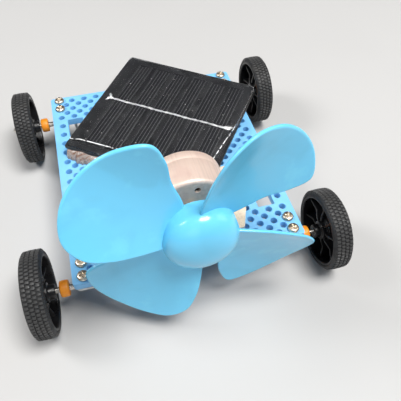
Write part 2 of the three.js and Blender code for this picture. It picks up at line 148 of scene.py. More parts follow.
make_camera()
make_world()
make_light("key_right", (230, -220, 930), 420, 11.2, (1.0, 0.99, 0.97))
make_light("key_left", (-560, 180, 620), 300, 3.4, (1.0, 0.99, 0.98))
make_light("fill_front", (-160, -520, 260), 300, 0.15, (0.95, 0.98, 1.0))
make_light("fill_right", (420, -60, 260), 260, 0.3)
bpy.context.scene.view_settings.view_transform = "Standard"


# ---- materials ------------------------------------------------------------------------------


class Paint:
    """A node material with a Principled shader and a few short ways to drive its sockets."""

    def __init__(self, name, colour, roughness, metallic=0.0, **sockets):
        self.material = bpy.data.materials.new(name)
        self.material.use_nodes = True
        self.tree = self.material.node_tree
        self.shader = self.tree.nodes["Principled BSDF"]
        self.set("Base Color", (*colour, 1))
        self.set("Roughness", roughness)
        self.set("Metallic", metallic)
        for socket, value in sockets.items():
            self.set(socket.replace("_", " "), value)
        self.coords = self.tree.nodes.new("ShaderNodeTexCoord").outputs["Object"]
        self.bumps = None

    def set(self, socket, value):
        self.shader.inputs[socket].default_value = value

    def link(self, out, into):
        self.tree.links.new(out, into)

    def stretched(self, scale):
        node = self.tree.nodes.new("ShaderNodeMapping")
        node.inputs["Scale"].default_value = scale
        self.link(self.coords, node.inputs["Vector"])
        return node.outputs["Vector"]

    def noise(self, scale, detail=3.0, stretch=(1, 1, 1), distortion=0.0):
        """Noise with features about 1/scale metres across."""
        node = self.tree.nodes.new("ShaderNodeTexNoise")
        node.inputs["Scale"].default_value = scale
        node.inputs["Detail"].default_value = detail
        node.inputs["Distortion"].default_value = distortion
        self.link(self.stretched(stretch), node.inputs["Vector"])
        return node.outputs["Fac"]

    def attribute(self, name):
        node = self.tree.nodes.new("ShaderNodeAttribute")
        node.attribute_name = name
        return node.outputs["Fac"]

    def ramp(self, factor, low, high, start=0.0, stop=1.0):
        node = self.tree.nodes.new("ShaderNodeMapRange")
        node.inputs["From Min"].default_value = low
        node.inputs["From Max"].default_value = high
        node.inputs["To Min"].default_value = start
        node.inputs["To Max"].default_value = stop
        node.interpolation_type = "SMOOTHSTEP"
        self.link(factor, node.inputs["Value"])
        return node.outputs["Result"]

    def tint(self, factor, colour, amount=1.0):
        """Mixes colour over what the base colour is now, where factor is 1."""
        node = self.tree.nodes.new("ShaderNodeMix")
        node.data_type = "RGBA"
        socket = self.shader.inputs["Base Color"]
        if socket.is_linked:
            self.link(socket.links[0].from_socket, node.inputs["A"])
        else:
            node.inputs["A"].default_value = tuple(socket.default_value)
        node.inputs["B"].default_value = (*colour, 1)
        scaled = self.ramp(factor, 0, 1, 0, amount)
        self.link(scaled, node.inputs["Factor"])
        self.link(node.outputs["Result"], socket)

    def rough(self, factor, smooth, dull):
        self.link(self.ramp(factor, 0.3, 0.7, smooth, dull), self.shader.inputs["Roughness"])

    def bump(self, height, depth):
        """Adds a bump of depth millimetres to those already there."""
        node = self.tree.nodes.new("ShaderNodeBump")
        node.inputs["Distance"].default_value = depth * MM
        self.link(height, node.inputs["Height"])
        if self.bumps:
            self.link(self.bumps, node.inputs["Normal"])
        self.bumps = node.outputs["Normal"]
        self.link(self.bumps, self.shader.inputs["Normal"])


def plastic(name, colour, smooth, dull, grain, **sockets):
    """Moulded plastic: faint flow marks, uneven gloss and a fine grain."""
    paint = Paint(name, colour, smooth, **sockets)
    darker = tuple(0.86 * c for c in colour)
    paler = tuple(min(1.0, 1.1 * c + 0.02) for c in colour)
    paint.tint(paint.ramp(paint.noise(55, 4, distortion=0.6), 0.42, 0.72), darker, 0.6)
    paint.tint(paint.ramp(paint.noise(130, 3), 0.55, 0.75), paler, 0.5)
    paint.rough(paint.noise(260, 4), smooth, dull)
    paint.bump(paint.noise(2600, 2), grain)
    return paint


def metal(name, colour, smooth, dull, brushed, tarnish, grain=0.004, metallic=1.0):
    """Bare metal with streaks along the axis that brushed names and patches of tarnish."""
    paint = Paint(name, colour, smooth, metallic)
    stretch = {"x": (0.04, 1, 1), "y": (1, 0.04, 1), "z": (1, 1, 0.04), "ring": (1, 30, 1)}[brushed]
    streaks = paint.noise(900 if brushed != "ring" else 120, 3, stretch)
    paint.tint(paint.ramp(streaks, 0.35, 0.75), tuple(0.8 * c for c in colour), 0.7)
    paint.tint(paint.ramp(paint.noise(170, 4, distortion=0.8), 0.5, 0.78), tarnish, 0.55)
    paint.rough(streaks, smooth, dull)
    paint.bump(streaks, grain)
    return paint


def rubber_tyre():
    paint = Paint("tyre_rubber", (0.014, 0.014, 0.015), 0.62)
    # Painted highlight: the tops of the raised tread blocks are tinted lighter than the grooves.
    paint.tint(paint.ramp(paint.attribute("mark"), 0.35, 1.0), (0.05, 0.05, 0.05), 0.75)
    paint.tint(paint.ramp(paint.noise(140, 5, distortion=0.5), 0.5, 0.8), (0.07, 0.067, 0.062), 0.35)
    paint.tint(paint.ramp(paint.noise(900, 3), 0.66, 0.8), (0.2, 0.19, 0.17), 0.4)
    paint.rough(paint.noise(400, 3), 0.48, 0.72)
    paint.bump(paint.noise(3000, 3), 0.02)
    return paint


def orange_rubber():
    paint = Paint("collar_rubber", (1.0, 0.34, 0.02), 0.42, Subsurface_Weight=0.12)
    paint.set("Subsurface Radius", (0.001, 0.0004, 0.0001))
    paint.tint(paint.ramp(paint.noise(420, 3), 0.45, 0.75), (0.85, 0.2, 0.01), 0.5)
    paint.tint(paint.ramp(paint.noise(1500, 2), 0.62, 0.8), (1.0, 0.45, 0.1), 0.6)
    paint.rough(paint.noise(600, 3), 0.34, 0.55)
    paint.bump(paint.noise(1900, 2), 0.02)
    return paint


def silicon():
    """Solar cell: near black with a faint violet film and crystal patches."""
    paint = Paint("cell_silicon", (0.009, 0.009, 0.0105), 0.5, Specular_IOR_Level=0.2)
    crystals = paint.tree.nodes.new("ShaderNodeTexVoronoi")
    crystals.inputs["Scale"].default_value = 420
    paint.link(paint.coords, crystals.inputs["Vector"])
    paint.tint(paint.ramp(crystals.outputs["Distance"], 0.1, 0.8), (0.005, 0.005, 0.007), 0.7)
    paint.tint(paint.ramp(paint.noise(70, 3), 0.5, 0.75), (0.014, 0.014, 0.015), 0.6)
    paint.rough(paint.noise(500, 2), 0.3, 0.45)
    paint.bump(crystals.outputs["Distance"], 0.001)
    return paint


def solder(name, colour, smooth, dull, metallic=0.85):
    paint = Paint(name, colour, smooth, metallic)
    darker = tuple(0.5 * c for c in colour)
    paint.tint(paint.ramp(paint.noise(700, 4), 0.45, 0.7), darker, 0.7)
    paint.rough(paint.noise(1100, 3), smooth, dull)
    paint.bump(paint.noise(1300, 3), 0.05)
    return paint


def resin():
    """Clear casting resin over the cells; along stretches of its ridges it turns milky white, a painted
    highlight standing in for the lights' reflection there.
    """
    paint = Paint("clear_resin", (0.97, 0.98, 0.985), 0.03, IOR=1.47, Specular_IOR_Level=0.15)
    # Painted highlight: where the mark is high the resin turns milky white and rough, standing in for the
    # lights' reflection on the ridges.
    painted_highlight_mask = paint.ramp(paint.attribute("mark"), 0.3, 0.8)
    patchy_highlight = paint.tree.nodes.new("ShaderNodeMath")
    patchy_highlight.operation = "MULTIPLY"
    paint.link(painted_highlight_mask, patchy_highlight.inputs[0])
    paint.link(paint.ramp(paint.noise(500, 4), 0.36, 0.58, 0.12, 1), patchy_highlight.inputs[1])
    paint.link(paint.ramp(patchy_highlight.outputs[0], 0, 1, 1, 0.1), paint.shader.inputs["Transmission Weight"])
    paint.link(paint.ramp(patchy_highlight.outputs[0], 0, 1, 0.03, 0.5), paint.shader.inputs["Roughness"])
    paint.tint(paint.ramp(paint.noise(60, 3), 0.5, 0.8), (0.93, 0.95, 0.97), 0.5)
    paint.bump(paint.noise(45, 2), 0.012)
    return paint


def foam():
    paint = Paint("cream_foam", (0.84, 0.72, 0.56), 0.8)
    cells = paint.noise(1700, 4)
    paint.tint(paint.ramp(cells, 0.4, 0.7), (0.62, 0.5, 0.37), 0.5)
    paint.tint(paint.ramp(paint.noise(90, 4), 0.5, 0.75), (0.92, 0.83, 0.7), 0.7)
    paint.rough(cells, 0.7, 0.9)
    paint.bump(cells, 0.05)
    return paint


def hot_glue():
    paint = Paint("hot_glue", (0.62, 0.52, 0.47), 0.22, Transmission_Weight=0.45, IOR=1.48)
    paint.set("Subsurface Weight", 0.3)
    paint.set("Subsurface Radius", (0.002, 0.0017, 0.0014))
    paint.tint(paint.ramp(paint.noise(240, 4, (1, 3, 1), 1.2), 0.48, 0.66), (0.33, 0.15, 0.09), 0.85)
    # Painted highlight: whitish patches scattered over the glue.
    paint.tint(paint.ramp(paint.noise(500, 3), 0.55, 0.75), (0.93, 0.92, 0.9), 0.7)
    paint.rough(paint.noise(700, 3), 0.12, 0.4)
    paint.bump(paint.noise(420, 2), 0.12)
    return paint


def floor_paint():
    paint = Paint("studio_floor", (0.52, 0.515, 0.51), 0.9)
    paint.tint(paint.ramp(paint.noise(9, 3), 0.4, 0.7), (0.51, 0.505, 0.5), 0.6)
    return paint


PAINTS = {
    "plate": plastic("plate_blue", (0.21, 0.54, 0.90), 0.34, 0.5, 0.012),
    "blade": plastic("blade_blue", (0.165, 0.65, 0.97), 0.16, 0.27, 0.003, Coat_Weight=0.25),
    "wheel": plastic("wheel_black", (0.006, 0.006, 0.007), 0.26, 0.42, 0.01),
    "board": plastic("board_black", (0.004, 0.004, 0.005), 0.3, 0.5, 0.012),
    "cream": plastic("cream_plastic", (0.78, 0.69, 0.56), 0.42, 0.6, 0.02),
    "red": plastic("lead_red", (0.62, 0.02, 0.02), 0.3, 0.42, 0.006),
    "black": plastic("lead_black", (0.015, 0.015, 0.016), 0.3, 0.42, 0.006),
    "ferrite": plastic("ferrite", (0.045, 0.045, 0.048), 0.6, 0.8, 0.03),
    "tyre": rubber_tyre(),
    "collar": orange_rubber(),
    "axle": metal("axle_steel", (0.74, 0.7, 0.64), 0.2, 0.38, "x", (0.42, 0.34, 0.26)),
    "shaft": metal("shaft_steel", (0.76, 0.74, 0.72), 0.18, 0.34, "y", (0.45, 0.4, 0.36)),
    "zinc": metal("bracket_zinc", (0.66, 0.66, 0.64), 0.32, 0.5, "y", (0.4, 0.42, 0.45)),
    "screw": metal("screw_nickel", (0.86, 0.76, 0.62), 0.24, 0.42, "ring", (0.5, 0.36, 0.22)),
    "can": metal("can_steel", (0.86, 0.66, 0.56), 0.4, 0.55, "y", (0.74, 0.52, 0.45), 0.003, 0.4),
    "brass": metal("brass", (0.66, 0.52, 0.34), 0.24, 0.42, "ring", (0.4, 0.24, 0.1)),
    "copper": metal("copper", (0.74, 0.33, 0.16), 0.3, 0.5, "ring", (0.3, 0.1, 0.05)),
    "silicon": silicon(),
    "finger": solder("cell_fingers", (0.085, 0.085, 0.09), 0.4, 0.6, 0.1),
    "tinned": solder("tinned_ribbon", (0.8, 0.8, 0.8), 0.28, 0.5),
    "resin": resin(),
    "foam": foam(),
    "glue": hot_glue(),
    "dust": Paint("dust", (0.55, 0.54, 0.52), 0.9),
    "floor": floor_paint(),
}

# ---- mesh tools -----------------------------------------------------------------------------


def new_mesh(name, shape, place, values=None):
    """A clean mesh from (vertices in mm, faces), set in the row frame by place."""
    vertices, faces = shape
    mesh = bpy.data.meshes.new(name)
    placed = [tuple(place @ Vector([MM * float(c) for c in v])) for v in vertices]
    mesh.from_pydata(placed, [], faces)
    if values is not None:
        layer = mesh.attributes.new("mark", "FLOAT", "POINT")
        layer.data.foreach_set("value", np.asarray(values, np.float32))
    work = bmesh.new()
    work.from_mesh(mesh)
    bmesh.ops.remove_doubles(work, verts=work.verts, dist=1e-6)
    bmesh.ops.dissolve_degenerate(work, edges=work.edges, dist=1e-7)
    bmesh.ops.recalc_face_normals(work, faces=work.faces)
    work.to_mesh(mesh)
    work.free()
    return mesh


def piece(name, shape, paint, body, place=PLATE, stands_for=(), sharp=32, values=None):
    mesh = new_mesh(name, shape, place, values)
    mesh.shade_smooth()
    mesh.set_sharp_from_angle(angle=math.radians(sharp))
    mesh.materials.append(PAINTS[paint].material)
    made = bpy.data.objects.new(name, mesh)
    bpy.context.scene.collection.objects.link(made)
    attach(made, body)
    if stands_for:
        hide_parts(*stands_for)
    return made


def turns(count):
    """The angles of even steps round a circle."""
    return [2 * math.pi * k / count for k in range(count)]


def swung(x, y, angle):
    """A point turned about the origin."""
    return x * math.cos(angle) - y * math.sin(angle), x * math.sin(angle) + y * math.cos(angle)


def soften(points, radius, steps=3):
    """Rounds every corner of a closed outline with a short curve."""
    points = [np.array(p, float) for p in points]
    out = []
    for i, corner in enumerate(points):
        ends = []
        for beside in (points[i - 1], points[(i + 1) % len(points)]):
            away = np.linalg.norm(beside - corner)
            ends.append(corner + (beside - corner) / away * min(radius, 0.48 * away))
        for k in range(steps + 1):
            t = k / steps
            out.append((1 - t) ** 2 * ends[0] + 2 * t * (1 - t) * corner + t * t * ends[1])
    return [tuple(p) for p in out]


def grid_faces(rows, columns, wrap_rows=False, wrap_columns=False):
    """Quads of a grid of vertices stored row by row."""
    faces = []
    for i in range(rows if wrap_rows else rows - 1):
        here, below = i * columns, (i + 1) % rows * columns
        for j in range(columns if wrap_columns else columns - 1):
            right = (j + 1) % columns
            faces.append((here + j, below + j, below + right, here + right))
    return faces


AXIS_MAPS = {
    "x": lambda r, h, c, s: (h, r * c, r * s),
    "y": lambda r, h, c, s: (r * c, h, r * s),
    "z": lambda r, h, c, s: (r * c, r * s, h),
}


def lathe(profile, segments, axis, closed=True):
    """A turned shape: profile holds (radius, height along axis). Points on the axis merge."""
    place = AXIS_MAPS[axis]
    vertices = []
    for r, h in profile:
        for k in range(segments):
            angle = 2 * math.pi * k / segments
            vertices.append(place(r, h, math.cos(angle), math.sin(angle)))
    return vertices, grid_faces(len(profile), segments, wrap_rows=closed, wrap_columns=True)


def ring(inner, outer, low, high, soft=0.2):
    return soften([(inner, low), (outer, low), (outer, high), (inner, high)], soft)


def merged(*shapes):
    vertices, faces = [], []
    for more_vertices, more_faces in shapes:
        base = len(vertices)
        vertices.extend(more_vertices)
        faces.extend(tuple(base + i for i in face) for face in more_faces)
    return vertices, faces


def moved(shape, matrix):
    vertices, faces = shape
    return [tuple(matrix @ Vector(v)) for v in vertices], faces


def circle(x, y, radius, count):
    return [(x + radius * math.cos(a), y + radius * math.sin(a)) for a in turns(count)]


def rectangle(width, depth, x=0.0, y=0.0):
    w, d = width / 2, depth / 2
    return [(x - w, y - d), (x + w, y - d), (x + w, y + d), (x - w, y + d)]


def sheet(outline, holes, low, high, edge, rounds=1):
    """A flat sheet with through holes and a small round on every edge."""
    curve = bpy.data.curves.new("sheet", "CURVE")
    curve.dimensions = "2D"
    curve.fill_mode = "BOTH"
    curve.extrude = (high - low) / 2 - edge
    curve.bevel_depth = edge
    curve.bevel_resolution = rounds
    curve.offset = -edge
    for loop in [outline, *holes]:
        spline = curve.splines.new("POLY")
        spline.points.add(len(loop) - 1)
        for point, (x, y) in zip(spline.points, loop):
            point.co = (x, y, 0, 1)
        spline.use_cyclic_u = True
    holder = bpy.data.objects.new("sheet", curve)
    bpy.context.scene.collection.objects.link(holder)
    graph = bpy.context.evaluated_depsgraph_get()
    mesh = bpy.data.meshes.new_from_object(holder.evaluated_get(graph))
    lift = (low + high) / 2
    vertices = [(v.co.x, v.co.y, v.co.z + lift) for v in mesh.vertices]
    faces = [tuple(p.vertices) for p in mesh.polygons]
    bpy.data.objects.remove(holder)
    bpy.data.curves.remove(curve)
    bpy.data.meshes.remove(mesh)
    return vertices, faces


def catmull(a, b, c, d, t):
    """A point on a uniform Catmull-Rom curve, a share t of the way from b to c."""
    square, cube = 2 * a - 5 * b + 4 * c - d, 3 * b - a - 3 * c + d
    return 0.5 * (2 * b + (c - a) * t + square * t**2 + cube * t**3)


def smooth_path(points, steps):
    """A smooth curve through the points."""
    points = [np.array(p, float) for p in points]
    points = [2 * points[0] - points[1], *points, 2 * points[-1] - points[-2]]
    out = []
    for a, b, c, d in zip(points, points[1:], points[2:], points[3:]):
        out += [catmull(a, b, c, d, k / steps) for k in range(steps)]
    return [*out, points[-2]]


def tube(points, radius, sides):
    """A closed round tube along a path."""
    points = [Vector(p) for p in points]
    normal = Vector((0, 0, 1)).cross(points[1] - points[0])
    normal = normal.normalized() if normal.length > 1e-6 else Vector((1, 0, 0))
    vertices = []
    for i, point in enumerate(points):
        along = (points[min(i + 1, len(points) - 1)] - points[max(i - 1, 0)]).normalized()
        normal = (normal - along * normal.dot(along)).normalized()
        across = along.cross(normal)
        for angle in turns(sides):
            swing = math.cos(angle) * normal + math.sin(angle) * across
            vertices.append(tuple(point + radius * swing))
    faces = grid_faces(len(points), sides, wrap_columns=True)
    last = len(vertices) - sides
    faces += [tuple(range(sides)), tuple(range(last, last + sides))]
    return vertices, faces


def lofted(loops):
    """A closed shape through loops with the same number of points, capped at both ends."""
    count = len(loops[0])
    vertices = [tuple(p) for loop in loops for p in loop]
    faces = grid_faces(len(loops), count, wrap_columns=True)
    last = len(vertices) - count
    return vertices, [*faces, tuple(range(count)), tuple(range(last, last + count))]


# ---- base plate -----------------------------------------------------------------------------

PITCH = 5.0
PLATE_SIZE = PLATE_HIGH - PLATE_LOW
HOLE_COLUMNS = 15
HOLE_ROWS = 18
HOLE_RADIUS = 1.18
WINDOW_X = (26.8, 32.8)
WINDOW_Y = (16.7, 30.8)
WINDOW_MARGIN = 1.4
SCREW_X = 35.0
SCREW_Y = (37.5, 42.5)


def in_window(x, y):
    near_x = WINDOW_X[0] - WINDOW_MARGIN < abs(x) < WINDOW_X[1] + WINDOW_MARGIN
    return near_x and WINDOW_Y[0] - WINDOW_MARGIN < abs(y) < WINDOW_Y[1] + WINDOW_MARGIN


def plate_holes():
    holes = []
    for row in range(2 * HOLE_ROWS - 1):
        for column in range(row % 2, 2 * HOLE_COLUMNS - 1, 2):
            x = (column - HOLE_COLUMNS + 1) * PITCH / 2
            y = (row - HOLE_ROWS + 1) * PITCH / 2
            if not in_window(x, y):
                holes.append(circle(x, y, HOLE_RADIUS, 20))
    width, depth = WINDOW_X[1] - WINDOW_X[0], WINDOW_Y[1] - WINDOW_Y[0]
    for sx, sy in CORNERS:
        centre = (sx * sum(WINDOW_X) / 2, sy * sum(WINDOW_Y) / 2)
        holes.append(soften(rectangle(width, depth, *centre), 0.5, 4))
    return holes


def make_plate():
    outline = soften(rectangle(PLATE_SIZE[0], PLATE_SIZE[1]), 1.2, 5)
    shape = sheet(outline, plate_holes(), -PLATE_SIZE[2], 0, 0.16, 2)
    piece("plate", shape, "plate", CHASSIS, stands_for=["base_plate"])


# ---- brackets and screws --------------------------------------------------------------------

AXLE_DROP = 8.9
AXLE_Y = 40.0
BRACKET_LEG = 30.0
BRACKET_REACH = 8.0
BRACKET_HALF = 5.0
LEG_END = (4.0, 3.2)
AXLE_HOLE = 1.2
STEEL = 1.0
REST_GAP = 0.15
SCREW_RADIUS = 1.9
SCREW_HIGH = 1.3
SHANK = 1.0
SCREW_LENGTH = 5.8
THREAD_PITCH = 0.55
RECESS_DEPTH = 0.62
UNDER_HEAD = [(1.0, 0.48), (0.985, 0.3), (0.94, 0.18)]  # share of the head's radius, and height


def bracket_shape():
    """A pressed angle for the right side: a flange under the plate and a leg round the axle."""
    top = -PLATE_SIZE[2] - REST_GAP
    middle_y = sum(SCREW_Y) / 2
    holes = [circle(SCREW_X, y - middle_y, SHANK + 0.1, 20) for y in SCREW_Y]
    bend = 1.6
    flange_outline = soften([
        (BRACKET_LEG + bend, -BRACKET_HALF), (BRACKET_LEG + BRACKET_REACH, -BRACKET_HALF),
        (BRACKET_LEG + BRACKET_REACH, BRACKET_HALF), (BRACKET_LEG + bend, BRACKET_HALF),
    ], 1.4, 5)
    flange = sheet(flange_outline, holes, top - STEEL, top, 0.12, 2)
    ends = [math.pi * (1 + k / 12) for k in range(13)]
    leg_outline = [(BRACKET_HALF, top - bend), (-BRACKET_HALF, top - bend)]
    leg_outline += [(LEG_END[0] * math.cos(a), -AXLE_DROP + LEG_END[1] * math.sin(a)) for a in ends]
    leg = sheet(leg_outline, [circle(0, -AXLE_DROP, AXLE_HOLE, 28)], 0, STEEL, 0.12, 2)
    stand = Matrix(((0, 0, 1, BRACKET_LEG), (1, 0, 0, 0), (0, 1, 0, 0), (0, 0, 0, 1)))
    outer = bend + 0.1
    quarter = [math.pi / 2 * k / 8 for k in range(9)]
    section = [(outer, a) for a in quarter] + [(outer - STEEL, a) for a in reversed(quarter)]
    turn = []
    for y in (-BRACKET_HALF, BRACKET_HALF):
        turn.append([(BRACKET_LEG + outer - reach * math.cos(a), y, top - outer + reach * math.sin(a))
                     for reach, a in section])
    return merged(flange, moved(leg, stand), lofted(turn))


def recess(x, y):
    """Depth of the cross recess at a point of the screw's head."""
    arm, long = sorted((abs(x), abs(y)))
    inside = min(max((0.26 - arm) / 0.1, 0), 1) * min(max((1.22 - long) / 0.18, 0), 1)
    pit = min(max((0.5 - math.hypot(x, y)) / 0.16, 0), 1)
    return RECESS_DEPTH * max(inside * (1 - 0.35 * long), pit)


def screw_shape(swing):
    """A pan head screw, head up at z = 0: domed head, cross recess and a threaded shank."""
    rings, sides, rows = 22, 64, 60
    vertices = []
    for i in range(rings):
        r = SCREW_RADIUS * (i + 0.02) / (rings - 1 + 0.02)
        share = r / SCREW_RADIUS
        dome = REST_GAP + SCREW_HIGH * (1 - 0.22 * share**2 - 0.3 * share**9)
        for angle in turns(sides):
            x, y = r * math.cos(angle), r * math.sin(angle)
            vertices.append((*swung(x, y, swing), dome - recess(x, y)))
    for share, z in UNDER_HEAD:
        vertices += [(x, y, z) for x, y in circle(0, 0, SCREW_RADIUS * share, sides)]
    for i in range(rows + 1):
        z = (REST_GAP - SCREW_LENGTH) * i / rows if i else UNDER_HEAD[-1][1] - 0.01
        for angle in turns(sides):
            wave = 0.5 + 0.5 * math.cos(2 * math.pi * z / THREAD_PITCH + angle) if i else 0
            r = SHANK - 0.16 * wave - 0.3 * max(0, i / rows - 0.93) / 0.07
            vertices.append((r * math.cos(angle), r * math.sin(angle), z))
    count = rings + len(UNDER_HEAD) + rows + 1
    last = (count - 1) * sides
    faces = grid_faces(count, sides, wrap_columns=True)
    return vertices, [*faces, tuple(range(sides)), tuple(range(last, last + sides))]


def make_corners():
    for sx, sy in CORNERS:
        corner = f"{end(sy)}_{side(sx)}"
        at = PLATE @ Matrix.Translation((0, sy * AXLE_Y * MM, 0))
        if sx < 0:
            at = at @ Matrix.Rotation(math.pi, 4, "Z")
        piece(f"bracket_{corner}", bracket_shape(), "zinc", CHASSIS, at,
              [f"axle_bracket_{corner}"], sharp=40)
        for i, y in enumerate(SCREW_Y):
            at = PLATE @ Matrix.Translation((sx * SCREW_X * MM, sy * y * MM, 0))
            shape = screw_shape(RANDOM.uniform(0, math.pi / 2))
            name = f"{corner}_{i + 1}"
            piece(f"pan_screw_{name}", shape, "screw", CHASSIS, at, [f"screw_{name}"])


# ---- axles, collars, rims and tyres ---------------------------------------------------------

AXLE_RADIUS = 1.0
AXLE_HALF = 56.0
COLLAR_LENGTH = 3.1
COLLAR_RADIUS = 2.8
RIM_X = (46.6, 53.3)
BOSS_X = 45.2
CAP_X = 54.1
RIM_RADIUS = 12.6
BARREL = 11.8
WEB_X = 51.5
RIBS = 8
TYRE_X = (46.5, 53.4)
TYRE_RADIUS = 14.6
SHOULDER = [  # share of the half width, and distance in from the tread
    (0.855, 0.7), (0.905, 0.82), (0.955, 1.05), (0.985, 1.35), (1, 1.62), (0.98, 1.86), (0.9, 1.96),
]
TREAD_ROWS = 4
TREAD_BLOCKS = 66
TREAD_HALF = 2.9
TREAD_DEPTH = 0.42


def axle_shape():
    profile = [(0, -AXLE_HALF), (AXLE_RADIUS - 0.3, -AXLE_HALF), (AXLE_RADIUS, -AXLE_HALF + 0.35),
               (AXLE_RADIUS, AXLE_HALF - 0.35), (AXLE_RADIUS - 0.3, AXLE_HALF), (0, AXLE_HALF)]
    return lathe(profile, 40, "x", closed=False)


def collar_shape():
    """A bulged rubber sleeve with rounded ends, tight on the axle, centred on x = 0."""
    half = COLLAR_LENGTH / 2
    profile = [(AXLE_RADIUS - 0.05, 0.3 - half), (AXLE_RADIUS + 0.25, 0.02 - half)]
    for k in range(25):
        share = -1 + 2 * k / 24
        bulge = COLLAR_RADIUS - 0.16 * share**2 - 0.75 * abs(share) ** 14
        profile.append((bulge, half * share))
    profile += [(AXLE_RADIUS + 0.25, half - 0.02), (AXLE_RADIUS - 0.05, half - 0.3)]
    return lathe(profile, 72, "x")


def rim_shape():
    """A deep dished wheel: stepped boss, thin web with ribs inside, barrel and a shallow outer dish."""
    profile = soften([
        (AXLE_RADIUS + 0.02, BOSS_X), (2.3, BOSS_X), (2.4, BOSS_X + 2.2), (3.3, BOSS_X + 2.3),
        (3.4, BOSS_X + 4.0), (4.5, BOSS_X + 4.1), (4.7, WEB_X), (BARREL - 0.1, WEB_X + 0.05),
        (BARREL, RIM_X[0] + 0.35), (BARREL + 0.25, RIM_X[0]), (RIM_RADIUS + 0.1, RIM_X[0]),
        (RIM_RADIUS + 0.1, RIM_X[1]), (BARREL - 0.4, RIM_X[1]), (BARREL - 0.8, RIM_X[1] - 0.75),
        (5.4, RIM_X[1] - 0.75), (5.1, RIM_X[1] - 0.35), (3.3, RIM_X[1] - 0.35), (3.1, CAP_X),
        (AXLE_RADIUS + 0.02, CAP_X),
    ], 0.28, 4)
    top = WEB_X + 0.3
    rib = soften([(3.2, top), (BARREL + 0.3, top), (BARREL + 0.3, WEB_X - 3.3), (BARREL - 1.2, WEB_X - 3.2),
                  (7.6, WEB_X - 2.5), (4.4, WEB_X - 3.4), (3.2, WEB_X - 3.4)], 0.5, 4)
    rib = sheet(rib, [], -0.4, 0.4, 0.13, 2)
    upright = Matrix(((0, 1, 0, 0), (1, 0, 0, 0), (0, 0, 1, 0), (0, 0, 0, 1)))
    ribs = [moved(rib, Matrix.Rotation(2 * math.pi * k / RIBS, 4, "X") @ upright) for k in range(RIBS)]
    return merged(lathe(profile, 120, "x"), *ribs)


def smooth_step(value, low, high):
    share = min(max((value - low) / (high - low), 0), 1)
    return share * share * (3 - 2 * share)


def tread_height(across, angle):
    """Height of the moulded blocks, 0 to 1, at a place across the tread and round the wheel."""
    row_width = 2 * TREAD_HALF / TREAD_ROWS
    place = (across + TREAD_HALF) / row_width
    row = math.floor(place)
    if not 0 <= row < TREAD_ROWS:
        return 0.0
    side_gap = min(place - row, row + 1 - place) * row_width
    turn = (angle / (2 * math.pi) * TREAD_BLOCKS + 0.5 * (row % 2)) % 1
    pitch = 2 * math.pi * TYRE_RADIUS / TREAD_BLOCKS
    end_gap = min(turn, 1 - turn) * pitch
    return smooth_step(side_gap, 0.04, 0.22) * smooth_step(end_gap, 0.16, 0.32)


def tyre_section():
    """Points (x, radius, tread share) round the tyre's section, tread first."""
    centre, half = sum(TYRE_X) / 2, (TYRE_X[1] - TYRE_X[0]) / 2
    crown = TYRE_RADIUS - TREAD_DEPTH
    row_width = 2 * TREAD_HALF / TREAD_ROWS
    steps = [0.03, 0.11, 0.2, 0.5, 0.8, 0.89, 0.97]
    points = []
    for row in range(TREAD_ROWS):
        for share in steps:
            x = -TREAD_HALF + (row + share) * row_width
            points.append((centre + x, crown - 0.02 * x**2, 1.0))
    shoulder = [(x * half, TYRE_RADIUS - down) for x, down in SHOULDER]
    for x, r in shoulder:
        points.append((centre + x, r, 0.0))
    for x, r in reversed(shoulder):
        points.append((centre - x, r, 0.0))
    return points


def tyre_shape():
    section = tyre_section()
    centre = sum(TYRE_X) / 2
    around = TREAD_BLOCKS * 12
    vertices, marks = [], []
    for k in range(around):
        angle = 2 * math.pi * k / around
        for x, r, tread in section:
            high = tread_height(x - centre, angle) if tread else 0
            radius = r + TREAD_DEPTH * high
            vertices.append((x, radius * math.cos(angle), radius * math.sin(angle)))
            marks.append(high)
    return (vertices, grid_faces(around, len(section), wrap_rows=True, wrap_columns=True)), marks


def make_running_gear():
    tyre, marks = tyre_shape()
    for sy in (-1, 1):
        body = f"{end(sy)}_axle_set"
        at = axle_place(sy)
        piece(f"{end(sy)}_axle_rod", axle_shape(), "axle", body, at, [f"{end(sy)}_axle"])
        for sx in (-1, 1):
            corner = f"{end(sy)}_{side(sx)}"
            facing = at if sx > 0 else at @ Matrix.Rotation(math.pi, 4, "Z")
            facing = facing @ Matrix.Rotation(RANDOM.uniform(0, 2 * math.pi), 4, "X")
            collar_x = abs(middle(f"axle_collar_{corner}")[0])
            outset = abs(middle(f"tyre_{corner}")[0]) - sum(TYRE_X) / 2
            collar_at = facing @ Matrix.Translation((collar_x * MM, 0, 0))
            wheel_at = facing @ Matrix.Translation((outset * MM, 0, 0))
            piece(f"collar_{corner}", collar_shape(), "collar", body, collar_at,
                  [f"axle_collar_{corner}"])
            piece(f"rim_{corner}", rim_shape(), "wheel", body, wheel_at,
                  [f"wheel_rim_{corner}"])
            piece(f"tread_{corner}", tyre, "tyre", body, wheel_at, [f"tyre_{corner}"],
                  sharp=50, values=marks)


# ---- solar panel ----------------------------------------------------------------------------

PANEL_WIDTH = 57.0
PANEL_DEPTH = 57.0
BOARD_THICK = 1.4
COVER_TOP = 3.0
CELLS = 6
CELL_PITCH = 8.15
CELL_WIDTH = 5.8
CELL_LENGTH = 49.3
CELL_TOP = 1.85
CELL_THICK = 0.4
CELLS_AT = (1.25, 0.3)
RIBBON_X = (-25.5, 26.5)
RIBBON_Y = 0.9
FINGER_STEP = 1.3


def cell_shape():
    outline = soften(rectangle(CELL_WIDTH, CELL_LENGTH), 0.3, 3)
    return sheet(outline, [], CELL_TOP - CELL_THICK, CELL_TOP, 0.06, 1)


